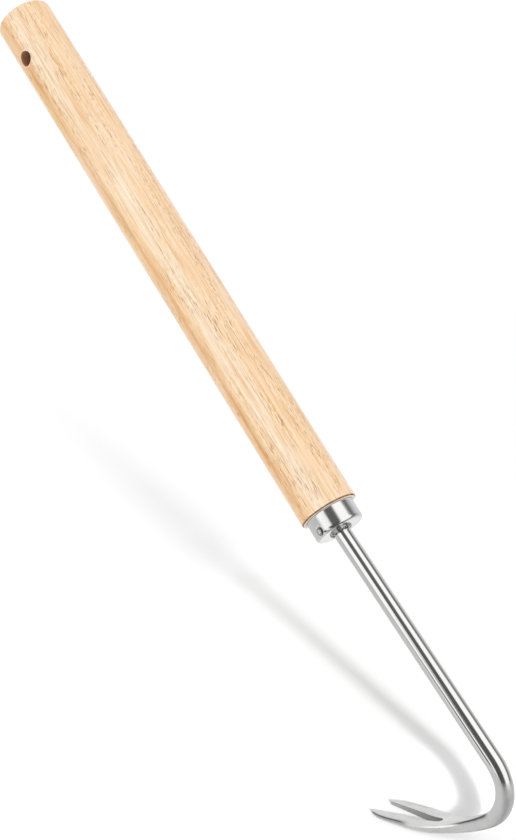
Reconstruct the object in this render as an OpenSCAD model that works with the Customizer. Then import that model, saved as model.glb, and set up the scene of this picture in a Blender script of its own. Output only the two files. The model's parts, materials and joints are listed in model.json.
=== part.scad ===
// Two-prong hook weeder: wooden handle, ferrule, ferrule pin, forked shank, weld bead.
// Millimetres. The blade lies flat on z = 0, +Z is up, the tines point to -X and the
// hanging hole runs along Y. The origin is under the middle of the tool's bounding box.
// Pieces are drawn in the tool's frame, with the handle's axis on Z and its shoulder at
// z = 0, and placed() leans them over onto the ground.

/* [Handle] */
// Diameter of the turned handle
handle_d = 24; // [22:0.5:28]
// Length of the handle, from its shoulder at the ferrule to its butt
handle_len = 253; // [180:1:320]
// Rounding of the butt edge
butt_round = 1.85; // [0.5:0.05:4]
// Chamfer of the shoulder edge next to the ferrule
shoulder_chamfer = 0.4; // [0.1:0.05:1.5]
// Diameter of the hanging hole
hang_hole_d = 6.4; // [4:0.1:9]
// Distance from the butt to the centre of the hanging hole
hang_hole_inset = 21.6; // [14:0.1:40]
// Edge break around each mouth of the hanging hole
hang_hole_break = 0.3; // [0.1:0.05:0.8]
// Depth of the tang bore, measured up from the shoulder
tang_depth = 70; // [40:1:120]

/* [Ferrule] */
// Outside diameter of the ferrule cup
ferrule_d = 20.4; // [19:0.1:21.5]
// Length of the ferrule, from the shoulder to its closed face
ferrule_len = 8.6; // [8:0.1:14]
// Sheet thickness of the ferrule
ferrule_wall = 1.0; // [0.6:0.05:1.4]
// Outside rounding between the ferrule's wall and its face
ferrule_round = 1.4; // [0.8:0.05:2]
// Distance from the shoulder down to the pin's centre
pin_drop = 6.2; // [4:0.1:6.4]
// Diameter of the pin's domed head
pin_head_d = 2.9; // [2.4:0.1:3.4]

/* [Shank] */
// Diameter of the round rod
rod_d = 7.1; // [6:0.1:8]
// Angle by which the rod leans back from the handle's axis
rod_cant = 2.43; // [0:0.01:5]
// Straight length of rod below the ferrule
rod_len = 104.6; // [80:0.1:140]
// Centreline radius of the first, gentle part of the bend
ease_r = 21.7; // [18:0.1:40]
// Turn of the first part of the bend
ease_turn = 18.5; // [5:0.5:30]
// Centreline radius of the tight part of the bend
hook_r = 14.9; // [12:0.1:24]
// Turn of the tight part of the bend
hook_turn = 83.2; // [60:0.1:95]

/* [Blade] */
// Radius along which the blade curves before it runs straight
blade_r = 68.3; // [50:0.1:120]
// Turn of the curved part of the blade
blade_turn = 28.8; // [15:0.1:35]
// Straight length at the ends of the tines
tine_flat = 21.7; // [16:0.1:30]
// Greatest width across both tines
blade_w = 16.6; // [14:0.1:22]
// Width across the outer corners of the tine tips
tip_w = 12.4; // [11.4:0.1:14]
// Thickness of the blade where the tines part
blade_t = 2.7; // [2.2:0.05:4]
// Thickness at the tine tips
tip_t = 1.6; // [1.2:0.05:2.4]
// Width of the notch at its round root
notch_root_w = 3.2; // [1.6:0.1:4]
// Width of the notch between the tine tips
notch_mouth_w = 10.2; // [8:0.1:10.6]
// Length of the notch from its round root to the tine tips
notch_len = 30.8; // [20:0.1:32]
// Angle between the tool's axis and the normal of the ground the tines lie on
lean = 39.7; // [30:0.1:48]

/* [Weld] */
// Height of the weld bead along the rod, and its reach on the ferrule's face
weld_h = 1.3; // [0.8:0.05:2]

/* [Hidden] */
$fn = 96;

// Gaps between neighbouring pieces
joint_gap = 0.01;
spigot_gap = 0.05;
bore_gap = 0.05;
bore_end_gap = 0.5;
face_hole_gap = 0.12;
weld_gap = 0.02;
pin_gap = 0.02;
pin_seat_gap = 0.05;

// Handle, ferrule and tang
rod_r = rod_d / 2;
ferrule_r = ferrule_d / 2;
face_z = -ferrule_len;
face_t = ferrule_wall + 0.1;
cavity_r = ferrule_r - ferrule_wall;
spigot_r = cavity_r - spigot_gap;
spigot_z = face_z + face_t + spigot_gap;
spigot_root = 1; // overlap of the spigot with the handle's body
bore_r = rod_r + bore_gap;
tang_len = tang_depth - face_z;
tang_taper_len = 2;
tang_taper = 1.2;

// Pin, measured outward from the handle's axis
pin_r = 0.8;
pin_point_r = 0.25;
pin_point_len = 0.9;
pin_start = rod_r + 0.8;
pin_head_r = pin_head_d / 2;
pin_head_rim = 0.3;
pin_head_sink = 0.44;
pin_crown_r = 2.6;
pin_crown_rise = 0.22;
pin_seat_r = pin_head_r + pin_seat_gap;
countersink_depth = 0.3;
countersink_r = pin_head_r + 1.6;

// Shank centreline: rod, gentle bend, tight bend, curved blade, straight tines.
// A heading is in degrees in the XZ plane: 0 points to -X and -90 points down.
function arc_len(radius, turn) = radius * turn * PI / 180;
function sum_first(values, n) = n <= 0 ? 0 : values[n - 1] + sum_first(values, n - 1);
leg_lens = [rod_len, arc_len(ease_r, ease_turn), arc_len(hook_r, hook_turn),
            arc_len(blade_r, blade_turn), tine_flat];
leg_curves = [0, 1 / ease_r, 1 / hook_r, 1 / blade_r, 0];
leg_turns = [0, ease_turn, hook_turn, blade_turn, 0];

// Distance from the ferrule's face, heading and [x, z] at each leg's start and at the tips
leg_dists = [for (i = [0:5]) sum_first(leg_lens, i)];
leg_heads = [for (i = [0:5]) -90 - rod_cant + sum_first(leg_turns, i)];
leg_points = [for (i = [0:5]) leg_point(i)];

function turned(heading, curve, length) = heading + curve * length * 180 / PI;
function travel(start, heading, curve, length) = curve == 0
    ? start + length * [-cos(heading), sin(heading)]
    : let (end = turned(heading, curve, length))
      start + [sin(heading) - sin(end), cos(heading) - cos(end)] / curve;
function leg_point(i) = i == 0
    ? [0, face_z]
    : travel(leg_point(i - 1), leg_heads[i - 1], leg_curves[i - 1], leg_lens[i - 1]);
function leg_at(dist, i = 4) = i == 0 || dist >= leg_dists[i] ? i : leg_at(dist, i - 1);
function point_at(dist) = let (i = leg_at(dist))
    travel(leg_points[i], leg_heads[i], leg_curves[i], dist - leg_dists[i]);
function heading_at(dist) = let (i = leg_at(dist))
    turned(leg_heads[i], leg_curves[i], dist - leg_dists[i]);

// Where the forged section changes, as distances along the centreline
bend_start = leg_dists[1];
forge_start = leg_dists[2];
blade_start = leg_dists[3];
tip_dist = leg_dists[5];
thin_end = tip_dist - 17.5;
widen_start = blade_start + 7.3;
widen_end = tip_dist - 20;
taper_start = tip_dist - 8.6;

// Smooth rise from 0 to 1 between two distances
function ramp(dist, from, to) =
    let (u = min(1, max(0, (dist - from) / (to - from)))) u * u * (3 - 2 * u);
// Straight rise from 0 at one distance to 1 at the tips
function to_tips(dist, from) = max(0, dist - from) / (tip_dist - from);
function forged(dist) = ramp(dist, forge_start, thin_end);
function half_width(dist) = rod_r
    + (blade_w / 2 - rod_r) * ramp(dist, widen_start, widen_end)
    - (blade_w - tip_w) / 2 * pow(to_tips(dist, taper_start), 2);
function thickness(dist) = rod_d
    + (blade_t - rod_d) * forged(dist)
    - (blade_t - tip_t) * to_tips(dist, thin_end);

// A ring goes from a circle on the rod to a flattened superellipse on the blade,
// squarer on the inner side of the bend (exponent 7) than on the outer side (5)
ring_n = 40;
function bulge(x, power) = sign(x) * pow(abs(x), 2 / power);
function ring(dist, scaling = 1) = let (
    centre = point_at(dist),
    heading = heading_at(dist),
    half_w = half_width(dist) * scaling,
    half_t = thickness(dist) / 2 * scaling)
    [for (i = [0:ring_n - 1]) let (
        angle = 360 * i / ring_n,
        power = 2 + (sin(angle) >= 0 ? 5 : 3) * forged(dist),
        across = half_w * bulge(cos(angle), power),
        rise = half_t * bulge(sin(angle), power))
        [centre[0] + rise * sin(heading), across, centre[1] + rise * cos(heading)]];

// Stations of the rings, closest together towards the tips
function spread(from, to, count) = [for (i = [1:count]) from + (to - from) * i / count];
fine_start = blade_start + 0.87 * (tip_dist - blade_start);
stations = concat(
    [bend_start + 0.5],
    spread(bend_start, forge_start, 4),
    spread(forge_start, blade_start, 13),
    spread(blade_start, fine_start, 22),
    spread(fine_start, tip_dist, 6));
// The first ring is slightly smaller and sits inside the end of the rod
rings = concat([ring(bend_start - 0.8, 0.985)], [for (dist = stations) ring(dist)]);
ring_points = [for (r = rings) each r];

// Extent of the leaning tool, which stands on the lowest point of its forged part
function leaned(p) = [p[0] * cos(lean) - p[2] * sin(lean), p[1],
                      p[0] * sin(lean) + p[2] * cos(lean)];
leaned_points = [for (p = ring_points) leaned(p)];
ground_z = min([for (p = leaned_points) p[2]]);
max_x = max([for (p = leaned_points) p[0]]);
min_x = -(handle_len - butt_round) * sin(lean)
    - (handle_d / 2 - butt_round) * cos(lean) - butt_round;

module placed() {
    translate([-(min_x + max_x) / 2, 0, -ground_z]) rotate([0, -lean, 0]) children();
}

// Z runs up the canted rod, from the ferrule's face
module along_rod() {
    translate([0, 0, face_z]) rotate([0, -rod_cant, 0]) children();
}

// Z runs outward along the pin, to the tool's -Y side
module along_pin() {
    translate([0, 0, -pin_drop]) rotate([90, 0, 0]) children();
}

module pin_hole() {
    along_pin() cylinder(h = ferrule_d, r = pin_r + pin_gap);
}

// Half profile of a round body with a rounded edge at the far end of its length
module round_profile(radius, start, end, edge_r) {
    length = end - start;
    translate([0, start]) square([radius, length - edge_r]);
    translate([0, start]) square([radius - edge_r, length]);
    translate([radius - edge_r, end - edge_r]) circle(r = edge_r);
}

// Cross hole near the butt, with a conical edge break at each mouth
module hang_hole() {
    translate([0, 0, handle_len - hang_hole_inset]) rotate([90, 0, 0]) {
        cylinder(h = handle_d + 4, d = hang_hole_d, center = true);
        for (side = [0, 1]) mirror([0, 0, side])
            translate([0, 0, handle_d / 2 - 2 * hang_hole_break])
                cylinder(h = 4 * hang_hole_break, d1 = hang_hole_d,
                         d2 = hang_hole_d + 6 * hang_hole_break);
    }
}

// Bore at the rod's angle, with the drill's point at its end
module tang_bore() {
    bore_len = tang_len + bore_end_gap;
    along_rod() {
        cylinder(h = bore_len, r = bore_r);
        translate([0, 0, bore_len - 0.01]) cylinder(h = bore_r * 0.6, r1 = bore_r, r2 = 0);
    }
}

module handle() {
    color("BurlyWood") placed() difference() {
        union() {
            rotate_extrude() {
                round_profile(handle_d / 2, shoulder_chamfer, handle_len, butt_round);
                polygon([[0, 0], [handle_d / 2 - shoulder_chamfer, 0],
                         [handle_d / 2, shoulder_chamfer], [0, shoulder_chamfer]]);
            }
            // spigot inside the ferrule
            translate([0, 0, spigot_z]) cylinder(h = spigot_root - spigot_z, r = spigot_r);
        }
        tang_bore();
        hang_hole();
        pin_hole();
    }
}

module ferrule() {
    color("Silver") placed() difference() {
        mirror([0, 0, 1]) rotate_extrude()
            round_profile(ferrule_r, joint_gap, ferrule_len, ferrule_round);
        translate([0, 0, face_z + face_t]) cylinder(h = ferrule_len, r = cavity_r);
        // rod hole in the face
        translate([0, 0, face_z - 1]) cylinder(h = face_t + 2, r = rod_r + face_hole_gap);
        pin_hole();
        // seat and countersink for the pin's head
        along_pin() {
            translate([0, 0, ferrule_r - pin_head_sink - joint_gap])
                cylinder(h = 1, r = pin_seat_r);
            translate([0, 0, ferrule_r - countersink_depth])
                cylinder(h = 1, r1 = pin_seat_r, r2 = countersink_r);
        }
    }
}

module ferrule_pin() {
    shaft_start = pin_start + pin_point_len;
    head_start = ferrule_r - pin_head_sink;
    color("Gainsboro") placed() along_pin() {
        translate([0, 0, pin_start]) cylinder(h = pin_point_len, r1 = pin_point_r, r2 = pin_r);
        translate([0, 0, shaft_start]) cylinder(h = head_start - shaft_start, r = pin_r);
        translate([0, 0, head_start]) cylinder(h = pin_head_rim, r = pin_head_r);
        // domed crown of the head
        intersection() {
            translate([0, 0, head_start]) cylinder(h = 2, r = pin_head_r);
            translate([0, 0, ferrule_r + pin_crown_rise - pin_crown_r]) sphere(r = pin_crown_r);
        }
    }
}

// Tang and rod: one straight bar, tapered at its upper end
module bar() {
    taper_z = tang_len - tang_taper_len;
    along_rod() {
        translate([0, 0, -rod_len]) cylinder(h = rod_len + taper_z, r = rod_r);
        translate([0, 0, taper_z])
            cylinder(h = tang_taper_len, r1 = rod_r, r2 = rod_r - tang_taper);
    }
}

// Bend and blade: a skin over the rings, with a flat cap at each end
module forging() {
    last = len(rings) - 1;
    polyhedron(
        points = ring_points,
        faces = concat(
            [[for (i = [ring_n - 1:-1:0]) i]],
            [for (j = [0:last - 1]) for (i = [0:ring_n - 1])
                let (n = (i + 1) % ring_n, near = j * ring_n, far = near + ring_n)
                each [[near + i, far + n, far + i], [near + i, near + n, far + n]]],
            [[for (i = [0:ring_n - 1]) last * ring_n + i]]));
}

// V notch with a round root, cut nearly square to the tines. X runs from near the tips
// back to the root.
module notch() {
    root_r = notch_root_w / 2;
    root_x = notch_len - root_r;
    overrun = 4; // cut past the tips
    mouth_half_w = notch_mouth_w / 2 + overrun * (notch_mouth_w / 2 - root_r) / root_x;
    tilt = leg_heads[5] - 2;
    translate([leg_points[5][0], 0, leg_points[5][1]]) rotate([0, tilt, 0])
        linear_extrude(height = 14, center = true) {
            translate([root_x, 0]) circle(r = root_r);
            polygon([[root_x, -root_r], [-overrun, -mouth_half_w],
                     [-overrun, mouth_half_w], [root_x, root_r]]);
        }
}

module forked_shank() {
    color("LightSteelBlue") placed() difference() {
        union() {
            bar();
            forging();
        }
        notch();
    }
}

// Quarter-round bead under the ferrule's face, around the rod
module weld_bead() {
    color("DimGray") placed() difference() {
        translate([0, 0, face_z]) rotate([180, 0, 0]) rotate_extrude() intersection() {
            translate([rod_r - 0.5, joint_gap]) square([weld_h + 1, weld_h + 1]);
            translate([rod_r - 0.05, 0]) circle(r = weld_h);
        }
        along_rod() cylinder(h = 20, r = rod_r + weld_gap, center = true);
    }
}

handle();
ferrule();
ferrule_pin();
forked_shank();
weld_bead();
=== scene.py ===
import json
import math

import bmesh
import bpy
import numpy as np
from mathutils import Matrix, Vector


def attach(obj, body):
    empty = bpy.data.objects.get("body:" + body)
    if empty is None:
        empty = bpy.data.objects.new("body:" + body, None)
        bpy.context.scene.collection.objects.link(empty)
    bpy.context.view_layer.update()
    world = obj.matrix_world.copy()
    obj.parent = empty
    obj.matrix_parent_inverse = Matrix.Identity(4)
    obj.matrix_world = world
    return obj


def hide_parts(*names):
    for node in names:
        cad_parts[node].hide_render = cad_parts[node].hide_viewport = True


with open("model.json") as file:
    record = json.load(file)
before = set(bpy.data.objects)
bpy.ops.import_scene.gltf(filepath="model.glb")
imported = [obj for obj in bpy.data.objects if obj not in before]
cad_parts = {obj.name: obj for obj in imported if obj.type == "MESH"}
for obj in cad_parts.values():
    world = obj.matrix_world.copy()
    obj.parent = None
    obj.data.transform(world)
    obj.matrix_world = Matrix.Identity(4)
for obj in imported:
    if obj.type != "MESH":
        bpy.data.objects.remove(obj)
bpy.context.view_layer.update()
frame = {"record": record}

# ---------------------------------------------------------------- the tool's own axes
# Shapes are made in the tool's axes, in millimetres: z runs up the handle from its shoulder, y along
# the hanging hole and x away from the tines. PLACE puts them where the CAD has them.
UNIT = 0.001                                    # metres in a millimetre
LEAN = math.radians(39.7)
mounts = {mount["name"]: mount for mount in frame["record"]["mounts"]}
AXIS = Vector(mounts["handle_grip"]["axis"]).normalized()
HANDLE_R = mounts["handle_grip"]["dims"]["r_mm"]
TURN_R = HANDLE_R - 0.003                       # kept a hair inside the CAD's faceted cylinder
HANDLE_L = 253.0
HOLE_Z = HANDLE_L - 21.6
HOLE_R = mounts["hang_hole"]["dims"]["r_mm"]
SHOULDER = Vector(mounts["hang_hole"]["pos_m"]) - AXIS * (HOLE_Z * UNIT)
PLACE = Matrix.Translation(SHOULDER) @ Matrix.Rotation(-LEAN, 4, "Y")

# The camera's axes, and two directions square to the handle
BACK = Vector((0.698156, -0.680084, 0.223748)).normalized()
UP = Vector((-0.110625, 0.206296, 0.972216)).normalized()
RIGHT = UP.cross(BACK).normalized()
UP = BACK.cross(RIGHT).normalized()
TOWARD = (BACK - AXIS * BACK.dot(AXIS)).normalized()     # towards the camera
LEFT = TOWARD.cross(AXIS).normalized()                   # to the camera's left
TOOL_RIGHT = PLACE.to_3x3().inverted() @ (-LEFT)         # the opposite of LEFT, in the tool's axes

FERRULE_R = 10.2
FERRULE_L = 8.6
FERRULE_WALL = 1.0
FERRULE_ROUND = 1.4                             # rounding of its lower edge
PLATE = FERRULE_WALL + 0.1                      # thickness of its lower face
CAVITY_R = FERRULE_R - FERRULE_WALL
PIN_Z = -6.2
PIN_HEAD_R = 1.45
PIN_R = 0.8
ROD_R = 3.55
CANT = math.radians(2.43)                       # the rod leans this much from the handle's axis
TANG = 70.0                                     # how far the rod runs up inside the handle


# ---------------------------------------------------------------- mesh helpers
def smooth_by_angle(mesh, degrees):
    edit = bmesh.new()
    edit.from_mesh(mesh)
    bmesh.ops.recalc_face_normals(edit, faces=edit.faces)
    limit = math.radians(degrees)
    for face in edit.faces:
        face.smooth = True
    for edge in edit.edges:
        edge.smooth = not (len(edge.link_faces) == 2 and edge.calc_face_angle(0.0) > limit)
    edit.to_mesh(mesh)
    edit.free()


def tool_mesh(name, verts, faces):
    """A mesh given in the tool's axes (mm), placed in the frame."""
    mesh = bpy.data.meshes.new(name)
    mesh.from_pydata([tuple(PLACE @ (Vector(v) * UNIT)) for v in verts], [], faces)
    return mesh


def add_object(name, data):
    obj = bpy.data.objects.new(name, data)
    bpy.context.scene.collection.objects.link(obj)
    return obj


# Point attributes the shank's material reads: satin forging, painted shade on the notch's walls, a
# painted dark reflection on the arrises and a painted highlight on their worn stretch
SURFACES = ("forged", "notch_wall_painted_shade", "arris", "bright")


def piece(name, verts, faces, material, node, slot, angle, values=()):
    """An object standing for a CAD node; values holds one row of SURFACES for each vertex."""
    mesh = tool_mesh(name, verts, faces)
    mesh.validate(verbose=False)
    smooth_by_angle(mesh, angle)
    for label, column in zip(SURFACES, zip(*values)):
        layer = mesh.attributes.new(label, "FLOAT", "POINT")
        layer.data.foreach_set("value", np.asarray(column, np.float32))
    obj = add_object(name, mesh)
    mesh.materials.append(material)
    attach(obj, "root")
    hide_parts(node)
    return obj


def add_ring(verts, points):
    """Adds the points and returns their vertex numbers."""
    first = len(verts)
    verts.extend(points)
    return list(range(first, len(verts)))


def turns(count):
    """Angles of a full circle."""
    return [2 * math.pi * i / count for i in range(count)]


def quarter(steps):
    """Angles of a quarter circle, without the first."""
    return [math.radians(90 * k / steps) for k in range(1, steps + 1)]


def lathe(verts, profile, count):
    """Turns a profile of (radius, z) round z and returns its rings."""
    return [add_ring(verts, [(radius * math.cos(a), radius * math.sin(a), z) for a in turns(count)])
            for radius, z in profile]


def strips(rings, closed=True):
    """Quads between consecutive rings of vertex numbers."""
    quads = []
    for low, high in zip(rings, rings[1:]):
        for i in range(len(low) if closed else len(low) - 1):
            j = (i + 1) % len(low)
            quads.append((low[i], low[j], high[j], high[i]))
    return quads


def fan(ring, tip):
    return [(ring[i], ring[(i + 1) % len(ring)], tip) for i in range(len(ring))]


def ramp01(x):
    x = min(1.0, max(0.0, x))
    return x * x * (3 - 2 * x)


def rod_point(across, y, rise):
    """Point in the rod's canted axes, with rise measured up from the ferrule's lower face."""
    return (across * math.cos(CANT) - rise * math.sin(CANT), y,
            across * math.sin(CANT) + rise * math.cos(CANT) - FERRULE_L)


# ---------------------------------------------------------------- node helpers
def colour(value):
    """Linear RGBA from a grey level or an sRGB triple of 0 to 255; four numbers are kept as they are."""
    if not isinstance(value, tuple):
        return (value, value, value, 1.0)
    if len(value) == 4:
        return value
    shares = [c / 255.0 for c in value]
    linear = [c / 12.92 if c <= 0.04045 else ((c + 0.055) / 1.055) ** 2.4 for c in shares]
    return (*linear, 1.0)


def darker(tint, share):
    return tuple(c * share for c in tint[:3]) + (1.0,)


WHITE = colour(1.0)


class Nodes:
    """Builds a node tree; values may be sockets or numbers."""

    def __init__(self, owner):
        owner.use_nodes = True
        self.tree = owner.node_tree
        self.tree.nodes.clear()

    def new(self, kind, ins=(), **props):
        node = self.tree.nodes.new("ShaderNode" + kind)
        for key, value in props.items():
            setattr(node, key, value)
        for key, value in dict(ins).items():
            socket = node.inputs[key]
            if isinstance(value, bpy.types.NodeSocket):
                self.tree.links.new(value, socket)
            else:
                socket.default_value = value
        return node

    def tool_axes(self):
        """Position in the tool's axes, in mm."""
        here = self.new("TexCoord").outputs["Object"]
        ins = {0: here, 1: tuple(SHOULDER), 2: (0.0, -LEAN, 0.0), 3: (UNIT, UNIT, UNIT)}
        return self.new("Mapping", ins, vector_type="TEXTURE").outputs[0]

    def math(self, operation, a, b=0.0, clamp=False):
        ins = {0: a, 1: b, 2: 0.0}
        return self.new("Math", ins, operation=operation, use_clamp=clamp).outputs[0]

    def chain(self, operation, values):
        total = values[0]
        for value in values[1:]:
            total = self.math(operation, total, value)
        return total

    def add(self, *values):
        return self.chain("ADD", values)

    def sub(self, *values):
        return self.chain("SUBTRACT", values)

    def mul(self, *values):
        return self.chain("MULTIPLY", values)

    def length(self, a, b):
        return self.math("SQRT", self.add(self.mul(a, a), self.mul(b, b)))

    def dot(self, vector, direction):
        ins = {0: vector, 1: tuple(direction)}
        return self.new("VectorMath", ins, operation="DOT_PRODUCT").outputs["Value"]

    def split(self, vector):
        return self.new("SeparateXYZ", {0: vector}).outputs

    def mix(self, factor, a, b):
        ins = {0: factor}
        for key, value in ((6, a), (7, b)):
            ins[key] = value if isinstance(value, bpy.types.NodeSocket) else colour(value)
        return self.new("Mix", ins, data_type="RGBA").outputs[2]

    def fade(self, value, off, on, low=0.0, high=1.0, kind="SMOOTHSTEP"):
        """Runs from low, where value is off, to high, where it is on."""
        ins = {0: value, 1: off, 2: on, 3: low, 4: high}
        return self.new("MapRange", ins, interpolation_type=kind).outputs[0]

    def stain(self, base, rows):
        """Mixes colours over base, one row each: value, its off and on, strength, colour."""
        for value, off, on, strength, tint in rows:
            base = self.mix(self.fade(value, off, on, high=strength), base, tint)
        return base

    def noise(self, point, across, along, offset, detail, roughness):
        """Noise with its own frequencies (per mm) across the handle and along it."""
        vector = self.new("Mapping", {0: point, 1: offset, 3: (across, across, along)}).outputs[0]
        ins = {"Vector": vector, "Scale": 1.0, "Detail": detail, "Roughness": roughness}
        return self.new("TexNoise", ins).outputs[0]

    def noises(self, point, rows):
        return [self.noise(point, *row) for row in rows]

    def ramp(self, factor, stops):
        node = self.new("ValToRGB", {0: factor})
        elements = node.color_ramp.elements
        while len(elements) > 1:
            elements.remove(elements[-1])
        elements[0].position = stops[0][0]
        elements[0].color = colour(stops[0][1])
        for position, tint in stops[1:]:
            elements.new(position).color = colour(tint)
        return node.outputs[0]

    def mix_shader(self, factor, a, b):
        return self.new("MixShader", {0: factor, 1: a, 2: b}).outputs[0]

    def surface(self, base, roughness, height, strength, distance, extra):
        """Bump, principled shader and output; extra holds the shader's other inputs."""
        bump = self.new("Bump", {"Strength": strength, "Distance": distance, "Height": height})
        ins = {"Base Color": base, "Roughness": roughness, "Normal": bump.outputs[0], **extra}
        self.new("OutputMaterial", {0: self.new("BsdfPrincipled", ins).outputs[0]})


def new_material(name):
    material = bpy.data.materials.new(name)
    return material, Nodes(material)


# ---------------------------------------------------------------- wood
# Colour of the growth layers, from one side of the handle to the other
GROWTH_LAYERS = (
    (0.00, (247, 224, 196)), (0.045, (243, 208, 164)), (0.085, (237, 196, 148)),
    (0.125, (234, 190, 138)), (0.165, (242, 206, 160)), (0.215, (249, 219, 180)),
    (0.27, (252, 229, 195)), (0.33, (254, 236, 210)), (0.40, (254, 236, 212)),
    (0.47, (252, 230, 203)), (0.54, (252, 227, 194)), (0.62, (250, 222, 186)),
    (0.72, (251, 221, 184)), (0.82, (250, 219, 181)), (0.91, (247, 216, 179)),
    (0.96, (248, 220, 190)), (1.00, (250, 226, 202)))
# Strength of the warm streak, by share of the handle's length
WARM_ALONG = ((0.0, 0.75), (0.17, 1.0), (0.30, 0.85), (0.42, 0.50), (0.62, 0.35), (0.76, 0.40),
              (0.86, 0.80), (1.0, 0.80))
# Noise tables: frequency across, frequency along, offset, detail, roughness
WOOD_NOISE = (
    (0.05, 0.011, (0, 0, 0), 2.0, 0.5),         # slow wander of the layers
    (0.22, 0.022, (3.1, 7.7, 1.3), 3.0, 0.55),  # quicker waver of the layers
    (0.16, 0.020, (5, 2, 8), 3.0, 0.55),        # broad soft patches
    (0.75, 0.022, (9, 4, 1), 3.0, 0.55),        # long streaks
    (1.9, 0.050, (1, 8, 3), 4.0, 0.62),         # fibres
    (4.2, 0.075, (11, 3, 5), 3.0, 0.6),         # fine fibres
    (3.4, 0.045, (6, 7, 2), 2.0, 0.5),          # dark threads
    (0.10, 0.030, (2, 2, 9), 3.0, 0.55),        # where the warm streak comes and goes
    (0.24, 0.020, (4, 4, 4), 2.0, 0.5),         # bands the pores gather in
    (0.6, 0.6, (0, 0, 0), 3.0, 0.5),            # spots on the shoulder's arris
    (0.8, 0.35, (6, 6, 1), 3.0, 0.5))           # mottling round the hanging hole
PORE_NOISE = (
    (3.3, 0.17, (2, 9, 4), 1.5, 0.45),          # long dashes
    (4.8, 0.28, (7, 1, 6), 1.0, 0.4))           # short dashes
PORE_SLANT = (0.05, -0.06, 0.0)                 # radians aslant of the axis


def wood_material():
    """Pale hardwood whose growth layers are nearly flat sheets, with a warm streak down one side."""
    material, net = new_material("pale_hardwood")
    point = net.tool_axes()
    x, y, z = net.split(point)
    (wander, waver, patch, streak, fibre, fine, thread, come, gather, spot,
     mottle) = net.noises(point, WOOD_NOISE)

    # -1 to 1 across the handle, disturbed a little
    layer = net.add(net.mul(x, TOOL_RIGHT.x / HANDLE_R), net.mul(y, TOOL_RIGHT.y / HANDLE_R))
    for waves, reach in ((wander, 0.26), (waver, 0.16)):
        layer = net.add(layer, net.mul(net.sub(waves, 0.48), reach))
    base = net.ramp(net.add(net.mul(layer, 0.5), 0.5), GROWTH_LAYERS)
    base = net.stain(base, (
        (patch, 0.50, 0.68, 0.50, (247, 209, 163)), (patch, 0.50, 0.34, 0.45, (255, 232, 212)),
        (streak, 0.50, 0.68, 0.62, (240, 192, 136)), (streak, 0.48, 0.32, 0.40, (255, 240, 214)),
        (fibre, 0.50, 0.72, 0.60, (232, 186, 134)), (fibre, 0.46, 0.28, 0.45, (255, 240, 218)),
        (fine, 0.50, 0.68, 0.55, (224, 172, 116))))
    threads = net.mul(net.fade(thread, off=0.56, on=0.68, high=0.55),
                      net.fade(patch, off=0.38, on=0.60, low=0.35))
    base = net.mix(threads, base, (190, 129, 64))

    streak_at = -0.80                           # the warm streak's place among the layers
    off_streak = net.math("ABSOLUTE", net.add(layer, -streak_at))
    warm = net.mul(net.fade(off_streak, off=0.15, on=0.01),
                   net.fade(come, off=0.34, on=0.62, low=0.15),
                   net.ramp(net.math("DIVIDE", z, HANDLE_L), WARM_ALONG))

    # pores: short dark dashes
    slant = net.new("Mapping", {0: point, 2: PORE_SLANT}).outputs[0]
    dash, short_dash = net.noises(slant, PORE_NOISE)
    dash = net.fade(dash, off=0.615, on=0.70)
    short_dash = net.fade(short_dash, off=0.62, on=0.71)
    pores = net.mul(net.math("MAXIMUM", dash, net.mul(short_dash, 0.75)),
                    net.fade(gather, off=0.42, on=0.60, low=0.12))

    # the shoulder: its outer arris, its step face lightened with painted light and a ring of painted
    # shadow next to the ferrule
    radius = net.length(x, y)
    arris = net.mul(net.fade(z, off=0.75, on=0.25), net.fade(radius, off=11.46, on=11.70))
    arris_spots = net.fade(spot, off=0.3, on=0.6, low=0.75)
    step_painted_light = net.mul(net.fade(z, off=0.12, on=0.02), net.fade(radius, off=11.60, on=11.40))
    # painted shadow in the gap next to the ferrule
    ring = net.mul(net.fade(z, off=0.06, on=-0.02), net.fade(radius, off=10.62, on=10.35))

    # the hanging hole: its darkened wall, its pale lip and the mottling round it
    side = net.math("ABSOLUTE", y)
    reach = net.length(x, net.sub(z, HOLE_Z))
    wall = net.mul(net.fade(reach, off=HOLE_R + 0.22, on=HOLE_R + 0.04),
                   net.fade(side, off=HANDLE_R + 0.1, on=HANDLE_R - 0.7))
    lip = net.mul(net.fade(reach, off=HOLE_R + 0.80, on=HOLE_R + 0.40),
                  net.fade(reach, off=HOLE_R + 0.10, on=HOLE_R + 0.24))
    mottled = net.mul(net.fade(reach, off=8.5, on=3.6), net.fade(mottle, off=0.46, on=0.66))

    # where, how strongly, which colour
    for mask, strength, tint in (
            (warm, 0.80, (210, 148, 84)), (pores, 0.80, (148, 78, 14)),
            # painted light on the step face, painted shadow in the ring by the ferrule
            (arris, arris_spots, (112, 68, 34)), (step_painted_light, 0.80, (255, 247, 238)),
            (ring, 0.60, (112, 84, 62)), (wall, 0.86, (158, 108, 82)),
            (lip, 0.60, (255, 232, 216)), (mottled, 0.40, (206, 152, 98))):
        base = net.mix(net.mul(mask, strength), base, tint)
    # painted sheen: the base turns pale at grazing angles
    painted_sheen = net.new("LayerWeight", {"Blend": 0.5}).outputs["Facing"]
    base = net.stain(base, ((painted_sheen, 0.62, 0.97, 0.55, (248, 232, 218)),))

    roughness = net.add(0.50, net.mul(fine, 0.14), net.mul(pores, 0.15))
    height = net.add(net.mul(fine, 0.35), net.mul(pores, -1.0), net.mul(fibre, 0.25))
    net.surface(base, roughness, height, strength=0.22, distance=0.00012,
                extra={"Specular IOR Level": 0.30})
    return material


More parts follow.
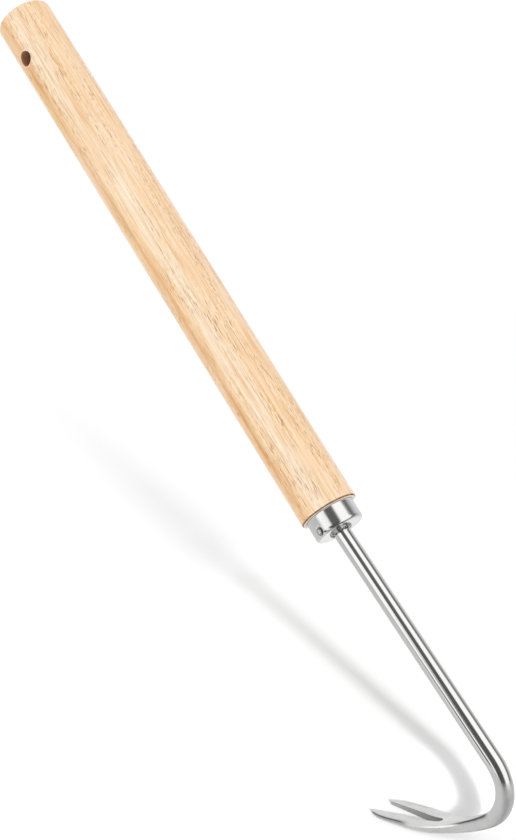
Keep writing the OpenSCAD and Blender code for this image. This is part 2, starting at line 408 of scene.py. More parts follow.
# ---------------------------------------------------------------- steel
STEEL_NOISE = (
    (5.0, 0.06, (0, 0, 0), 4.0, 0.6),           # fine drawing lines along z
    (0.25, 0.10, (4, 1, 2), 4.0, 0.6),          # clouds
    (3.2, 3.2, (1, 5, 2), 4.0, 0.65))           # grit
SCALE_NOISE = (1.1, 1.1, (7, 3, 3), 4.0, 0.6)   # forging scale
STEEL_TINT = (0.84, 0.84, 0.835, 1.0)
PIN_TINT = (0.84, 0.84, 0.83, 1.0)
SATIN_TINT = (0.90, 0.90, 0.895, 1.0)
ARRIS_PAINTED_REFLECTION = (0.040, 0.040, 0.041, 1.0)
WORN_PAINTED_HIGHLIGHT = (0.97, 0.97, 0.965, 1.0)
SEAT_PAINTED_SHADE = (0.05, 0.05, 0.052, 1.0)
DRAWN_ROUGH = 0.10
FORGED_ROUGH = 0.62


def pin_seat_painted_shade(net, point, cloud, grit, base, roughness, height):
    """Painted shade: a dark broken ring round the pin's head, heavier on its +x side."""
    x, y, z = net.split(point)
    rise = net.sub(z, PIN_Z)
    reach = net.length(x, rise)
    ring = net.mul(net.fade(reach, off=2.00, on=1.60), net.fade(reach, off=0.45, on=1.05),
                   net.fade(y, off=-5.0, on=-6.0))
    heavy_x, heavy_z = 0.92, 0.25               # the heavy side lies at +x, -z
    way = net.math("DIVIDE", net.sub(net.mul(x, heavy_x), net.mul(rise, heavy_z)),
                   net.math("MAXIMUM", reach, 0.05))
    broken = net.fade(grit, off=0.38, on=0.60, low=0.25, high=0.85)
    part = net.math("ADD", net.mul(way, 0.60), broken, clamp=True)
    return net.mix(net.mul(ring, part, 0.95), base, SEAT_PAINTED_SHADE), roughness, height


def forging(net, point, cloud, grit, base, roughness, height):
    """Satin where forged, with painted shade on faces turned down and on the notch walls, a painted dark
    reflection on the arrises and a painted highlight on their worn stretch.
    """
    forged, notch_wall_painted_shade, arris, bright = [
        net.new("Attribute", attribute_name=name).outputs["Fac"] for name in SURFACES]
    scale = net.noise(point, *SCALE_NOISE)
    world_up = net.split(net.new("NewGeometry").outputs["Normal"])[2]
    # painted shade: the satin darkens where the faces turn down
    satin = net.stain(SATIN_TINT, (
        (cloud, 0.35, 0.70, 0.5, darker(SATIN_TINT, 0.88)),
        (scale, 0.50, 0.72, 0.35, darker(SATIN_TINT, 0.80)),
        (world_up, -0.40, -0.92, 0.55, 0.34)))
    base = net.mix(net.math("MULTIPLY", forged, 1.33, clamp=True), base, satin)
    # painted shade on the notch walls
    base = net.mix(net.mul(notch_wall_painted_shade, 0.92), base, 0.21)
    # the arrises' painted dark reflection
    line = net.mul(arris, net.fade(scale, off=0.25, on=0.55, low=0.80))
    base = net.mix(line, base, ARRIS_PAINTED_REFLECTION)
    # painted highlight on the worn stretch; its smoother finish is set below
    base = net.mix(bright, base, WORN_PAINTED_HIGHLIGHT)
    roughness = net.add(roughness, net.mul(forged, FORGED_ROUGH - DRAWN_ROUGH))
    roughness = net.sub(roughness, net.mul(bright, 0.36))
    height = net.add(height, net.mul(net.add(grit, scale), forged, 0.5))
    return base, roughness, height


def steel_material(name, tint, rough, lines, finish):
    """Polished steel with drawing lines of the given strength; finish adds what the piece needs."""
    material, net = new_material(name)
    point = net.tool_axes()
    drawn, cloud, grit = net.noises(point, STEEL_NOISE)
    dark = darker(tint, 0.86)
    base = net.stain(tint, ((cloud, 0.40, 0.70, 0.22, dark), (grit, 0.55, 0.75, 0.18, dark)))
    roughness = net.add(rough, net.mul(net.sub(cloud, 0.5), 0.05),
                        net.mul(net.sub(drawn, 0.5), 0.08 * lines))
    height = net.add(net.mul(drawn, lines), net.mul(grit, 0.15))
    base, roughness, height = finish(net, point, cloud, grit, base, roughness, height)
    roughness = net.math("MAXIMUM", roughness, 0.04)
    net.surface(base, roughness, height, strength=0.22, distance=0.000004,
                extra={"Metallic": 1.0})
    return material


# Weld: blotches and grit, and the blotches' colours
WELD_NOISE = ((0.80, 1.1, (3, 2, 9), 4.0, 0.6), (2.5, 2.5, (0, 0, 0), 4.0, 0.65))
WELD_COLOURS = ((0.34, (52, 51, 51)), (0.45, (114, 114, 113)), (0.53, (206, 204, 202)),
                (0.68, (240, 239, 237)))


def weld_material():
    material, net = new_material("weld_metal")
    blotch, grit = net.noises(net.tool_axes(), WELD_NOISE)
    net.surface(net.ramp(blotch, WELD_COLOURS), net.add(0.22, net.mul(grit, 0.25)), grit,
                strength=0.4, distance=0.00006, extra={"Metallic": 1.0})
    return material


# ---------------------------------------------------------------- handle
SPIGOT_R = CAVITY_R - 0.05                      # the spigot fills the ferrule's cup
SPIGOT_Z = -FERRULE_L + PLATE + 0.05
SPIGOT_CHAMFER = 0.3
SHOULDER_ROUND = 0.45                           # worn lower edge of the grip
TOP_ROUND = 1.85
HOLE_ROUND = 0.34                               # rounding of the hanging hole's lips
BORE_R = ROD_R + 0.05                           # bore for the tang
BORE_START = PLATE + 0.6                        # up from the ferrule's lower face
BORE_L = TANG + FERRULE_L - PLATE


def hole_mouth(verts, edge, side):
    """Loops from a square patch's edge in to the hole's rounded lip, and the angles of their points."""
    start = [(verts[v][0], verts[v][2] - HOLE_Z) for v in edge]
    angles = [math.atan2(dz, x) for x, dz in start]

    def on_handle(x, dz, depth=0.0):
        return (x, side * (math.sqrt(TURN_R ** 2 - x ** 2) - depth), HOLE_Z + dz)

    loops = [edge]
    outer = HOLE_R + HOLE_ROUND
    for t in (0.80, 0.60, 0.42, 0.27, 0.15, 0.06, 0.0):     # share of the way back to the edge
        loops.append(add_ring(verts, [
            on_handle(t * x + (1 - t) * outer * math.cos(a), t * dz + (1 - t) * outer * math.sin(a))
            for (x, dz), a in zip(start, angles)]))
    for turn in quarter(6):
        radius = HOLE_R + HOLE_ROUND * (1 - math.sin(turn))
        depth = HOLE_ROUND * (1 - math.cos(turn))
        loops.append(add_ring(verts, [
            on_handle(radius * math.cos(a), radius * math.sin(a), depth) for a in angles]))
    return loops, angles


def tang_bore(verts, faces, mouth_ring, count):
    """Blind bore that leans with the rod, from the spigot's end up."""
    def bore_ring(rise, radius):
        return [rod_point(radius * math.cos(a), radius * math.sin(a), rise) for a in turns(count)]

    # the first ring slides along the bore to the spigot's end
    mouth = [(x - math.tan(CANT) * (SPIGOT_Z - z), y, SPIGOT_Z) for x, y, z in bore_ring(0, BORE_R)]
    rings = [mouth_ring, add_ring(verts, mouth)]
    for k in range(1, 13):
        rings.append(add_ring(verts, bore_ring(BORE_START + BORE_L * k / 12, BORE_R)))
    end = BORE_START + BORE_L
    rings.append(add_ring(verts, bore_ring(end + BORE_R * 0.3, BORE_R * 0.5)))
    rings = [ring[::-1] for ring in rings]
    faces += strips(rings)
    tip = len(verts)
    verts.append(rod_point(0.0, 0.0, end + BORE_R * 0.6))
    faces += fan(rings[-1], tip)


def handle():
    count = 96
    half = 8                                    # half-size, in cells, of the patch round each mouth
    cell = 2 * math.pi * TURN_R / count
    patch_z = HOLE_Z - half * cell
    profile = [(SPIGOT_R - SPIGOT_CHAMFER, SPIGOT_Z), (SPIGOT_R, SPIGOT_Z + SPIGOT_CHAMFER),
               (SPIGOT_R, -3.0), (SPIGOT_R, 0.0), (11.0, 0.0), (11.45, 0.0)]
    profile += [(TURN_R - SHOULDER_ROUND + SHOULDER_ROUND * math.sin(a),
                 SHOULDER_ROUND - SHOULDER_ROUND * math.cos(a)) for a in quarter(5)]
    steps = 90
    profile += [(TURN_R, SHOULDER_ROUND + (patch_z - SHOULDER_ROUND) * k / steps)
                for k in range(1, steps)]
    patch_low = len(profile)
    profile += [(TURN_R, patch_z + cell * k) for k in range(2 * half + 1)]
    patch_top = len(profile) - 1
    top_z = profile[-1][1]
    profile += [(TURN_R, top_z + (HANDLE_L - TOP_ROUND - top_z) * k / 6) for k in range(1, 7)]
    profile += [(TURN_R - TOP_ROUND + TOP_ROUND * math.cos(a),
                 HANDLE_L - TOP_ROUND + TOP_ROUND * math.sin(a)) for a in quarter(10)]
    profile += [(8.0, HANDLE_L), (5.0, HANDLE_L), (2.5, HANDLE_L)]
    verts = []
    rings = lathe(verts, profile, count)

    mouths = ((count // 4 - half, 1), (3 * count // 4 - half, -1))      # first column, side in y
    open_cols = {first + i for first, _ in mouths for i in range(2 * half)}
    faces = []
    for k, (low, high) in enumerate(zip(rings, rings[1:])):
        for i in range(count):
            if not (patch_low <= k < patch_top and i in open_cols):
                j = (i + 1) % count
                faces.append((low[i], low[j], high[j], high[i]))
    tip = len(verts)
    verts.append((0, 0, HANDLE_L))
    faces += fan(rings[-1], tip)

    patch = rings[patch_low:patch_top + 1]
    lips = []
    for first, side in mouths:
        last = first + 2 * half
        edge = patch[0][first:last + 1] + [row[last] for row in patch[1:]]
        edge += patch[-1][first:last][::-1] + [row[first] for row in patch[-2:0:-1]]
        loops, angles = hole_mouth(verts, edge, side)
        faces += strips(loops)
        lips.append((loops[-1], angles))

    # the hole between its lips, which run opposite ways round in x and so are matched by angle
    def bearing(angle):
        return (round(math.cos(angle), 5), round(math.sin(angle), 5))

    (near, near_angles), (other, other_angles) = lips
    facing = {bearing(a): v for v, a in zip(other, other_angles)}
    far = [facing[bearing(a)] for a in near_angles]
    tunnel = [near]
    for k in range(1, 14):
        t = k / 14
        tunnel.append(add_ring(verts, [
            tuple(p + (q - p) * t for p, q in zip(verts[v], verts[u])) for v, u in zip(near, far)]))
    tunnel.append(far)
    faces += strips(tunnel)

    tang_bore(verts, faces, rings[0], count)
    piece("turned_handle", verts, faces, wood_material(), "handle", "wood", 50.0)


# ---------------------------------------------------------------- ferrule and pin
TOP_Z = -0.02                                   # the ferrule's upper rim, just below the shoulder
RIM_ROUND = 0.22
FLOOR_Z = -FERRULE_L + PLATE                    # inner floor of the cup
CORNER_R = 0.5                                  # inner corner of the cup
SEAT_R = PIN_HEAD_R + 0.12                      # punched seat for the pin's head


def arc(centre_r, centre_z, radius, start, end, steps):
    """Points of an arc, with its angles in degrees."""
    angles = [math.radians(start + (end - start) * i / steps) for i in range(steps + 1)]
    return [(centre_r + radius * math.cos(a), centre_z + radius * math.sin(a)) for a in angles]


def turned_on_pin(profile):
    """Closed shape from a profile of (radius, distance from the handle's axis), turned round the pin,
    which enters from -y."""
    count, verts, rings, faces = 48, [], [], []
    for radius, distance in profile:
        angles = turns(count) if radius else [0.0]
        rings.append(add_ring(verts, [
            (radius * math.cos(a), -distance, PIN_Z + radius * math.sin(a)) for a in angles]))
    for low, high in zip(rings, rings[1:]):
        for i in range(count):
            j = (i + 1) % count
            if len(low) == 1:
                faces.append((low[0], high[j], high[i]))
            elif len(high) == 1:
                faces.append((low[i], low[j], high[0]))
            else:
                faces.append((low[i], low[j], high[j], high[i]))
    return verts, faces


def cut(obj, verts, faces):
    """Cuts a closed shape, in the tool's axes (mm), out of obj."""
    mesh = tool_mesh("cutter", verts, faces)
    edit = bmesh.new()
    edit.from_mesh(mesh)
    bmesh.ops.recalc_face_normals(edit, faces=edit.faces)
    edit.to_mesh(mesh)
    edit.free()
    cutter = add_object("cutter", mesh)
    modifier = obj.modifiers.new("cut", "BOOLEAN")
    modifier.operation = "DIFFERENCE"
    modifier.object = cutter
    modifier.solver = "EXACT"
    bpy.context.view_layer.update()
    graph = bpy.context.evaluated_depsgraph_get()
    result = bpy.data.meshes.new_from_object(obj.evaluated_get(graph))
    obj.modifiers.clear()
    old = obj.data
    result.name = old.name + "_cut"
    obj.data = result
    bpy.data.objects.remove(cutter)
    bpy.data.meshes.remove(old)
    # clear the slivers left where the two surfaces met
    edit = bmesh.new()
    edit.from_mesh(result)
    bmesh.ops.remove_doubles(edit, verts=edit.verts, dist=0.00002)
    bmesh.ops.dissolve_degenerate(edit, edges=edit.edges, dist=0.000004)
    bmesh.ops.triangulate(edit, faces=[face for face in edit.faces if len(face.verts) > 4])
    edit.to_mesh(result)
    edit.free()
    smooth_by_angle(result, 32.0)


def ferrule():
    low = -FERRULE_L
    profile = [(CAVITY_R, TOP_Z - 0.12), (CAVITY_R + 0.12, TOP_Z), (FERRULE_R - RIM_ROUND, TOP_Z)]
    profile += arc(FERRULE_R - RIM_ROUND, TOP_Z - RIM_ROUND, RIM_ROUND, 70, 10, 3)
    profile += [(FERRULE_R, z) for z in (TOP_Z - RIM_ROUND, -1.2, -2.4, -3.6, -4.8, -6.0,
                                         low + FERRULE_ROUND + 0.25)]
    profile += arc(FERRULE_R - FERRULE_ROUND, low + FERRULE_ROUND, FERRULE_ROUND, 0, -90, 12)
    profile += [(7.5, low), (6.0, low), (4.6, low), (ROD_R + 0.34, low), (ROD_R + 0.14, low + 0.2),
                (ROD_R + 0.14, FLOOR_Z - 0.1), (ROD_R + 0.24, FLOOR_Z), (6.0, FLOOR_Z),
                (CAVITY_R - CORNER_R, FLOOR_Z)]
    profile += arc(CAVITY_R - CORNER_R, FLOOR_Z + CORNER_R, CORNER_R, -70, 0, 4)
    profile += [(CAVITY_R, -4.0)]
    verts = []
    rings = lathe(verts, profile, 160)
    steel = steel_material("polished_stainless", STEEL_TINT, rough=0.15, lines=0.5, finish=pin_seat_painted_shade)
    cup = piece("ferrule_cup", verts, strips(rings + rings[:1]), steel, "ferrule",
                "ferrule_steel", 32.0)

    # the pin's hole, its punched seat and the seat's rounded mouth
    seat = [(0.0, 4.0), (0.82, 4.0), (0.82, FERRULE_R - 0.50),
            (PIN_HEAD_R + 0.11, FERRULE_R - 0.46), (SEAT_R, FERRULE_R - 0.34)]
    seat += [(SEAT_R + 0.62 * (1 - math.cos(a)), FERRULE_R - 0.34 + 0.36 * math.sin(a))
             for a in quarter(6)]
    seat += [(PIN_HEAD_R + 0.9, FERRULE_R + 1.0), (0.0, FERRULE_R + 1.0)]
    cut(cup, *turned_on_pin(seat))


def pin():
    """Short nail with a low domed head."""
    dome = FERRULE_R - 0.20                     # where the dome starts
    profile = [(0.0, ROD_R + 0.8), (0.25, ROD_R + 0.85), (PIN_R, ROD_R + 1.8),
               (PIN_R, FERRULE_R - 0.46), (PIN_HEAD_R - 0.08, FERRULE_R - 0.44),
               (PIN_HEAD_R, FERRULE_R - 0.38), (PIN_HEAD_R, dome)]
    profile += [(PIN_HEAD_R * math.cos(a), dome + 0.42 * math.sin(a)) for a in quarter(9)[:-1]]
    profile += [(0.0, dome + 0.42)]
    steel = steel_material("pin_stainless", PIN_TINT, rough=0.12, lines=0.2, finish=pin_seat_painted_shade)
    piece("ferrule_nail", *turned_on_pin(profile), steel, "ferrule_pin", "pin_steel", 40.0)


# ---------------------------------------------------------------- forked shank
# The centreline runs down from the ferrule's lower face: rod, easy bend, hook, curved blade, straight.
ROD_L = 104.6
EASE_R = 21.7
EASE_L = EASE_R * math.radians(18.5)
HOOK_R = 14.9
HOOK_L = HOOK_R * math.radians(83.2)
BLADE_R = 68.3
BLADE_L = BLADE_R * math.radians(28.8)
STRAIGHT_L = 21.7
SEGMENTS = ((ROD_L, 0.0), (EASE_L, 1 / EASE_R), (HOOK_L, 1 / HOOK_R), (BLADE_L, 1 / BLADE_R),
            (STRAIGHT_L, 0.0))                  # length, curvature
HOOK_END = ROD_L + EASE_L + HOOK_L

# Places along the shank, measured from the hook's end
FORGE_START = -HOOK_L
BLADE_END = BLADE_L + STRAIGHT_L
THIN_END = BLADE_END - 17.5                     # the section has reached the blade's thickness
WIDEN_START = 7.3
WIDEN_END = BLADE_END - 20.0
TAPER_START = BLADE_END - 8.6                   # the outer edges draw in from here

BLADE_W, TIP_W = 16.6, 12.4                     # widths over both tines
BLADE_T, TIP_T = 2.7, 1.6                       # thicknesses
NOTCH_L = 30.8
MOUTH_W = 10.2                                  # notch's width at the tips
ROOT_R = 1.6                                    # notch's round root
ROOT_AT = BLADE_END - NOTCH_L + ROOT_R
FLARE = math.atan((MOUTH_W / 2 - ROOT_R) / (BLADE_END - ROOT_AT))
LIP_R = 0.22                                    # rounding of the notch's edges
LIP_STEPS = 4
HALF_COLS = 24                                  # columns from the middle of a skin to its edge
# Angle of each column, from the middle to the edge; the columns crowd towards the rounded edge
COLUMNS = [math.radians(90 * (1 - j / HALF_COLS)) for j in range(HALF_COLS + 1)]


def centreline(distance):
    """Point (x, z) and heading, in radians, at a distance below the ferrule's face."""
    x, z, heading = 0.0, -FERRULE_L, math.radians(-90) - CANT
    for length, curvature in SEGMENTS:
        run = min(distance, length)
        distance -= run
        if curvature:
            turned = heading + curvature * run
            x -= (math.sin(turned) - math.sin(heading)) / curvature
            z += (math.cos(heading) - math.cos(turned)) / curvature
            heading = turned
        else:
            x -= run * math.cos(heading)
            z += run * math.sin(heading)
    return x, z, heading


def forged(along):
    return ramp01((along - FORGE_START) / (THIN_END - FORGE_START))


def half_width(along):
    widened = ramp01((along - WIDEN_START) / (WIDEN_END - WIDEN_START))
    tapered = max(0.0, along - TAPER_START) / (BLADE_END - TAPER_START)
    return ROD_R + (BLADE_W / 2 - ROD_R) * widened - (BLADE_W - TIP_W) / 2 * tapered ** 2


def thickness(along):
    thinned = max(0.0, along - THIN_END) / (BLADE_END - THIN_END)
    # the last term keeps the outside of the bend inside the CAD's box
    return (2 * ROD_R + (BLADE_T - 2 * ROD_R) * forged(along) - (BLADE_T - TIP_T) * thinned
            - 0.07 * math.exp(-((along + 15.5) / 8.0) ** 2))


def notch_line(opened, t):
    """Point (along, y) on the notch's outline, opened by some mm. t runs from 0 at the root's apex to
    1 where the straight side starts, then to 2 at the tip."""
    radius = ROOT_R + opened
    angle = min(t, 1.0) * (math.pi / 2 + FLARE)
    along, y = ROOT_AT - radius * math.cos(angle), radius * math.sin(angle)
    run = (BLADE_END - along) * max(0.0, t - 1.0)
    return along + run, y + run * math.tan(FLARE)


def section_power(along, top):
    """Superellipse power of the section: round on the rod, boxy on the blade."""
    return 2 + (5 if top else 3) * forged(along)


def skin(along, y, top):
    """Height of the top or bottom skin above the centreline."""
    power = section_power(along, top)
    share = min(1.0, abs(y) / half_width(along))
    return (1 if top else -1) * thickness(along) / 2 * (1 - share ** power) ** (1 / power)


def wave(along, y, rise):
    """Faint unevenness left by the forging, stronger on top."""
    grown = ramp01((along + 6) / 30.0)
    swell = (math.sin(along * 0.83 + y * 0.35 + 1.3) + 0.6 * math.sin(along * 1.57 - y * 0.9 + 0.4)
             + 0.5 * math.sin(along * 0.41 + y * 1.3))
    return 0.028 * grown * swell if rise > 0 else 0.012 * grown * (2.1 + swell)


def bell(angle, centre, width):
    """Bell curve over a column's angle; centre and width in degrees."""
    return math.exp(-((math.degrees(angle) - centre) / width) ** 2)


def arris_painted_dark_reflection(along, angle):
    """Painted dark reflection on the upper arris: at the tips and where the blade starts."""
    tip = ramp01((along - (BLADE_END - 21.0)) / 5.0) * bell(angle, 27, 24.0)
    start = ramp01((along + 4.0) / 4.0) * ramp01((20.0 - along) / 8.0)
    return tip + 0.95 * start * bell(angle, 48, 22.0)


def worn_line_painted_highlight(along, angle):
    """Worn stretch of the same arris, between the two dark ones: smoother, and lightened with a painted
    highlight.
    """
    ends = 0.60 * ramp01((31.0 - along) / 5.0) + 0.40 * ramp01((42.0 - along) / 5.0)
    return ramp01((along - 12.0) / 5.0) * ends * bell(angle, 28, 15.0)


# The rows below hold (along, y, rise, notch_wall_painted_shade, arris, bright), the last three carrying
# painted shade, a painted dark reflection and a painted highlight; the last ones may be left out.
def half_row(along, inner, side, top):
    """Skin points from the inner column out, without the edge, which both skins share."""
    row = []
    power = section_power(along, top)
    for angle in COLUMNS[:-1]:
        y = inner
        if math.cos(angle) > 1e-9:
            y += (half_width(along) - inner) * math.cos(angle) ** (2 / power)
        rise = skin(along, y, top)
        lines = (arris_painted_dark_reflection(along, angle), worn_line_painted_highlight(along, angle)) if top else (0.0, 0.0)
        row.append((along, side * y, rise + wave(along, y * side, rise), 0.0, *lines))
    return row


def edge_point(along, side):
    return (along, side * half_width(along), 0.0, 0.0, arris_painted_dark_reflection(along, 0.0))


def full_ring(along):
    """Starts at the top middle and goes to +y, under, to -y and back."""
    right_top, left_top, right_low, left_low = [
        half_row(along, 0.0, side, top) for top in (True, False) for side in (1, -1)]
    return (right_top + [edge_point(along, 1)] + right_low[::-1] + left_low[1:]
            + [edge_point(along, -1)] + left_top[:0:-1])


def notch_wall(t, side):
    """From the top skin's inner edge, round its lip, down the wall and round the lower lip."""
    along, y = notch_line(LIP_R, t)
    top, low = skin(along, y, True), skin(along, y, False)
    # painted shade on the wall: lighter towards the tip, and darker towards its lower edge
    dark = 1.0 - 0.62 * max(0.0, t - 1.0)
    upper, lower = [], []
    for k, angle in enumerate(quarter(LIP_STEPS), 1):
        along, y = notch_line(LIP_R * (1 - math.sin(angle)), t)
        drop = LIP_R * (1 - math.cos(angle))
        upper.append((along, side * y, top - drop, dark if k > 2 else 0.0))
        lower.append((along, side * y, low + drop, dark))
    along, y = notch_line(0.0, t)
    wall = [(along, side * y, (top - LIP_R) + (low - top + 2 * LIP_R) * k,
             dark * (0.82 + 0.18 * k)) for k in (0.25, 0.5, 0.75)]
    return upper + wall + lower[::-1]


def shank():
    verts, faces, values = [], [], []

    def add(along, y, rise, notch_wall_painted_shade=0.0, arris=0.0, bright=0.0):
        x, z, heading = centreline(along + HOOK_END)
        verts.append((x + rise * math.sin(heading), y, z + rise * math.cos(heading)))
        # the polish runs on further outside the bend
        late = 3.2 - 7.8 * ramp01((2 * rise / thickness(along) + 0.55) / 0.42)
        satin = ramp01((along + 25 - late) / 5.0) * (1.0 - 0.25 * ramp01((along - 4.0) / 16.0))
        values.append((satin, notch_wall_painted_shade, arris, bright))
        return len(verts) - 1

    def add_row(points):
        return [add(*point) for point in points]

    def add_plain(points, value):
        """A ring of points in the tool's axes that all carry the same value."""
        values.extend([value] * len(points))
        return add_ring(verts, points)

    # full rings through the easy bend, the hook and the blade to the notch's apex
    stations = [FORGE_START - EASE_L + EASE_L * k / 12 for k in range(12)]
    stations += [FORGE_START - FORGE_START * k / 44 for k in range(44)]
    apex_at = ROOT_AT - ROOT_R - LIP_R
    stations += [apex_at * k / 44 for k in range(45)]
    rings = [add_row(full_ring(along)) for along in stations]

    # rod and tang carry the first ring's section straight up
    start_x, start_z, _ = centreline(ROD_L)
    section = [((verts[v][0] - start_x) * math.cos(CANT) + (verts[v][2] - start_z) * math.sin(CANT),
                verts[v][1]) for v in rings[0]]
    top = TANG + FERRULE_L
    rises = [-ROD_L * (1 - k / 40) for k in range(1, 41)]
    rises += [(top - 2) * k / 10 for k in range(1, 11)]
    levels = [(rise, 1.0) for rise in rises] + [(top, (ROD_R - 1.2) / ROD_R)]
    upper = [add_plain([rod_point(u * scale, y * scale, rise) for u, y in section], (0.0,) * 4)
             for rise, scale in levels]
    column = upper[::-1] + rings
    faces += strips(column)
    faces.append(tuple(reversed(column[0])))

    # each tine starts from its half of the apex ring and from the notch's wall at the apex
    cols = HALF_COLS
    apex = rings[-1]
    apex_wall = [apex[0]] + add_row(notch_wall(0.0, 1)) + [apex[2 * cols]]
    starts = (
        (1, apex[:cols + 1], apex[cols:2 * cols + 1][::-1]),
        (-1, [apex[0]] + apex[3 * cols:4 * cols][::-1], apex[2 * cols:3 * cols + 1]))
    steps = [k / 12 for k in range(1, 13)] + [1 + k / 60 for k in range(1, 61)]
    _, _, heading = centreline(BLADE_END + HOOK_END)
    ahead = np.array([-math.cos(heading), 0.0, math.sin(heading)])
    for side, top_start, low_start in starts:
        top_rows, low_rows, walls = [top_start], [low_start], [apex_wall]
        for t in steps:
            along, inner = notch_line(LIP_R, t)
            top_row = add_row(half_row(along, inner, side, True))
            low_row = add_row(half_row(along, inner, side, False))
            edge = add(*edge_point(along, side))
            top_rows.append(top_row + [edge])
            low_rows.append(low_row + [edge])
            walls.append([top_row[0]] + add_row(notch_wall(t, side)) + [low_row[0]])
        for rows in (top_rows, low_rows, walls):
            faces += strips(rows, closed=False)
        # blunt, slightly rounded tip, whose end carries the painted dark reflection too
        loop = top_rows[-1] + low_rows[-1][-2::-1] + walls[-1][-2:0:-1]
        points = np.array([verts[v] for v in loop])
        middle = points.mean(0)
        loops = [loop]
        for forward, shrink in ((-0.15, 0.90), (-0.05, 0.68), (0.0, 0.35)):
            ring = [tuple(middle + (p - middle) * shrink + ahead * forward) for p in points]
            loops.append(add_plain(ring, (0.75, 0.0, 0.60, 0.0)))
        faces += strips(loops)
        tip = add_plain([tuple(middle)], (0.75, 0.0, 0.25, 0.0))[0]
        faces += fan(loops[-1], tip)
    steel = steel_material("drawn_and_forged_steel", STEEL_TINT, rough=DRAWN_ROUGH, lines=0.6,
                           finish=forging)
    piece("forged_shank", verts, faces, steel, "forked_shank", "shank_steel", 38.0, values)


def weld():
    """A rippled bead round the rod on the ferrule's face."""
    verts, rings = [], []
    inner = ROD_R + 0.02
    face_z = -FERRULE_L - 0.01
    for a in turns(220):
        scallop = abs(math.sin(7.0 * a + 0.6 * math.sin(2 * a))) ** 0.7
        swell = 0.5 + 0.5 * math.sin(3 * a + 1.0) * math.sin(a * 2 + 0.5)
        reach = 0.95 + 0.20 * scallop + 0.13 * swell
        drop = 0.95 + 0.20 * scallop + 0.10 * (1 - swell)
        points = []
        for turn in [0.0] + quarter(16):
            radius = inner + reach * math.cos(turn)
            z = face_z - drop * math.sin(turn)
            shift = math.sin(CANT) * (z + FERRULE_L)        # follows the canted rod
            points.append((radius * math.cos(a) - shift, radius * math.sin(a), z))
        points.append((inner * math.cos(a), inner * math.sin(a), face_z))
        rings.append(add_ring(verts, points))
    piece("weld_ring", verts, strips(rings + rings[:1]), weld_material(), "weld_bead",
          "weld_steel", 60.0)


handle()
ferrule()
pin()
shank()
weld()

# ---------------------------------------------------------------- camera
lens = bpy.data.cameras.new("camera")
lens.lens = 79.70
lens.sensor_width = 36.0
lens.sensor_fit = "AUTO"
lens.clip_start = 0.01
lens.clip_end = 50.0
camera = add_object("camera", lens)
turned = Matrix((RIGHT, UP, BACK)).transposed().to_4x4()
camera.matrix_world = Matrix.Translation((0.524406, -0.504129, 0.318190)) @ turned
bpy.context.scene.camera = camera

# ---------------------------------------------------------------- floor (metres)
FLOOR_HALF = 6.0
LIFT_Y = 0.010                                  # the sheet lifts behind the tool, from here
LIFT_RUN = 0.036
LIFT = 0.008
# Share of plain glow in the floor, by place along FADE_WAY
FADE_WAY = (-0.824, 0.566, 0.0)
FLOOR_FADE = (
    (0.0, 0.34), (0.05, 0.20), (0.072, 0.12), (0.096, 0.06), (0.122, 0.03), (0.18, 0.02),
    (0.22, 0.02), (0.26, 0.03), (0.306, 0.06), (0.330, 0.34), (0.356, 0.52), (0.40, 0.63),
    (0.442, 0.63), (0.50, 0.66), (0.55, 0.73), (0.668, 0.84), (0.80, 0.92), (0.95, 1.0))


def floor_material():
    material, net = new_material("pale_floor")
    along = net.dot(net.new("NewGeometry").outputs["Position"], FADE_WAY)
    fade_start, fade_run = 0.10, 1.10           # the ramp starts this far back and is this long
    fade = net.ramp(net.math("DIVIDE", net.add(along, fade_start), fade_run), FLOOR_FADE)
    diffuse = net.new("BsdfDiffuse", {"Color": colour(0.540)}).outputs[0]
    glow = net.new("Emission", {"Color": WHITE, "Strength": 1.02}).outputs[0]
    # seen neither by the metal's reflections nor from below
    glossy = net.new("LightPath").outputs["Is Glossy Ray"]
    below = net.new("NewGeometry").outputs["Backfacing"]
    clear = net.new("BsdfTransparent").outputs[0]
    shader = net.mix_shader(net.math("MAXIMUM", glossy, below),
                            net.mix_shader(fade, diffuse, glow), clear)
    net.new("OutputMaterial", {0: shader})
    return material


def make_floor():
    mesh = bpy.data.meshes.new("floor")
    rows = [-FLOOR_HALF, LIFT_Y] + [LIFT_Y + LIFT_RUN * k / 24 for k in range(1, 25)] + [FLOOR_HALF]
    verts = [(x, y, LIFT * ramp01((y - LIFT_Y) / LIFT_RUN))
             for y in rows for x in (-FLOOR_HALF, FLOOR_HALF)]
    quads = [(2 * k, 2 * k + 1, 2 * k + 3, 2 * k + 2) for k in range(len(rows) - 1)]
    mesh.from_pydata(verts, [], quads)
    for face in mesh.polygons:
        face.use_smooth = True
    obj = add_object("floor", mesh)
    mesh.materials.append(floor_material())
    return obj


floor = make_floor()

# ---------------------------------------------------------------- world
# Brightness the metal reflects, by degrees round the handle from the camera's side, positive to the
# left: one table for the upper end of the rod and one for the lower.
UPPER_BANDS = (
    (-180, 0.92), (-145, 0.80), (-122, 0.68), (-109, 0.56), (-101, 0.40), (-93, 0.20), (-88, 0.13),
    (-76, 0.13), (-70, 0.45), (-66, 1.05), (-60, 1.13), (-29, 1.13), (-23, 0.90), (-19, 0.25),
    (-14, 0.11), (12, 0.11), (18, 0.15), (23, 0.95), (28, 1.13), (58, 1.13), (63, 0.95),
    (69, 0.58), (78, 0.56), (100, 0.60), (140, 0.65), (180, 0.95))
LOWER_BANDS = (
    (-180, 0.92), (-150, 0.78), (-131, 0.64), (-116, 0.50), (-104, 0.32), (-97, 0.17), (-86, 0.17),
    (-80, 0.50), (-75, 1.08), (-70, 1.13), (-28, 1.13), (-22, 0.90), (-18, 0.20), (-12, 0.09),
    (32, 0.08), (38, 0.15), (43, 1.05), (53, 1.13), (57, 0.60), (60, 0.04), (71, 0.04),
    (74, 0.60), (78, 0.92), (86, 0.88), (94, 0.70), (120, 0.62), (150, 0.70), (180, 0.95))


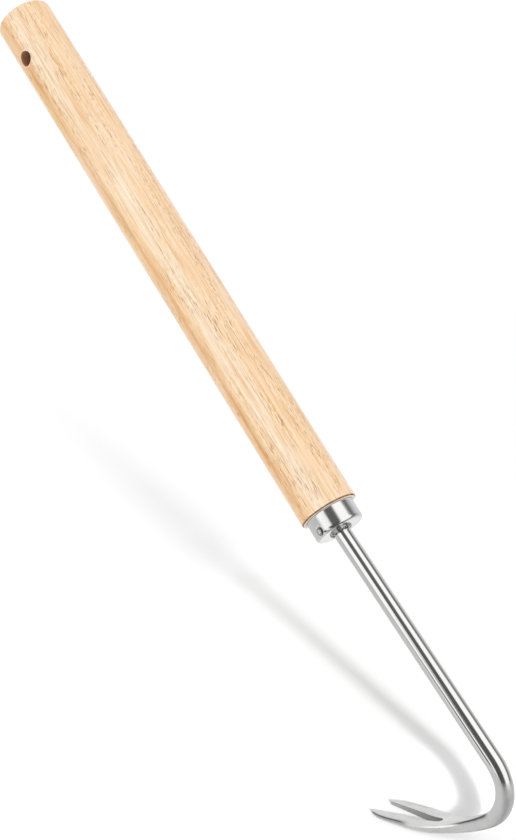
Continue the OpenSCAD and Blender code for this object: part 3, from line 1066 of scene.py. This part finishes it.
def make_world():
    world = bpy.data.worlds.new("studio")
    bpy.context.scene.world = world
    net = Nodes(world)
    view = net.new("TexCoord").outputs["Generated"]
    left = net.dot(view, LEFT)
    toward = net.dot(view, TOWARD)
    axial = net.dot(view, AXIS)
    around = net.math("ARCTAN2", left, toward)
    turn = net.add(net.mul(around, 1 / (2 * math.pi)), 0.5)
    upper, lower = [net.ramp(turn, [((degrees + 180.0) / 360.0, level) for degrees, level in table])
                    for table in (UPPER_BANDS, LOWER_BANDS)]
    # the rod is canted, so the cant's share is taken out before blending from upper to lower
    cant_share = net.mul(net.sub(net.add(toward, 1.0), left), 0.029)
    blend = net.fade(net.sub(axial, cant_share), off=0.150, on=0.085, kind="LINEAR")
    bands = net.mix(blend, upper, lower)
    # a grey patch behind the handle, and a dark cap below it
    off_level = net.math("ABSOLUTE", net.sub(axial, 0.16))
    behind = net.mul(
        net.fade(net.math("ABSOLUTE", around), off=math.radians(140), on=math.radians(172)),
        net.fade(off_level, off=0.30, on=0.20))
    bands = net.mix(net.mul(behind, 0.75), bands, 0.50)
    bands = net.stain(bands, ((axial, -0.80, -0.93, 0.9, 0.10),))
    soft = net.sub(net.add(0.985, net.mul(toward, 0.10)), net.mul(left, 0.06))
    # what reflections see, what lights the scene, and what the camera sees
    glossy, fill, white = [
        net.new("Background", {"Color": tint, "Strength": strength}).outputs[0]
        for tint, strength in ((bands, 1.0), (WHITE, soft), (WHITE, 1.02))]
    rays = net.new("LightPath").outputs
    lit = net.mix_shader(rays["Is Glossy Ray"], fill, glossy)
    net.new("OutputWorld", {0: net.mix_shader(rays["Is Camera Ray"], lit, white)})


make_world()

# ---------------------------------------------------------------- key light
# One direction for the floor's shadow: a small sun inside a broad soft one, both on the floor only.
KEY_WAY = Vector((-2.607, 1.779, -1.0))
only_floor = bpy.data.collections.new("floor_only")
only_floor.objects.link(floor)
for name, energy, degrees in (("key_core", 5.2, 2.9), ("key_soft", 4.3, 10.0)):
    light = bpy.data.lights.new(name, "SUN")
    light.energy = energy
    light.angle = math.radians(degrees)
    sun = add_object(name, light)
    sun.rotation_mode = "QUATERNION"
    sun.rotation_quaternion = KEY_WAY.to_track_quat("-Z", "Y")
    sun.light_linking.receiver_collection = only_floor

view_settings = bpy.context.scene.view_settings
view_settings.view_transform = "Standard"
view_settings.look = "None"
view_settings.exposure = 0.0
view_settings.gamma = 1.0
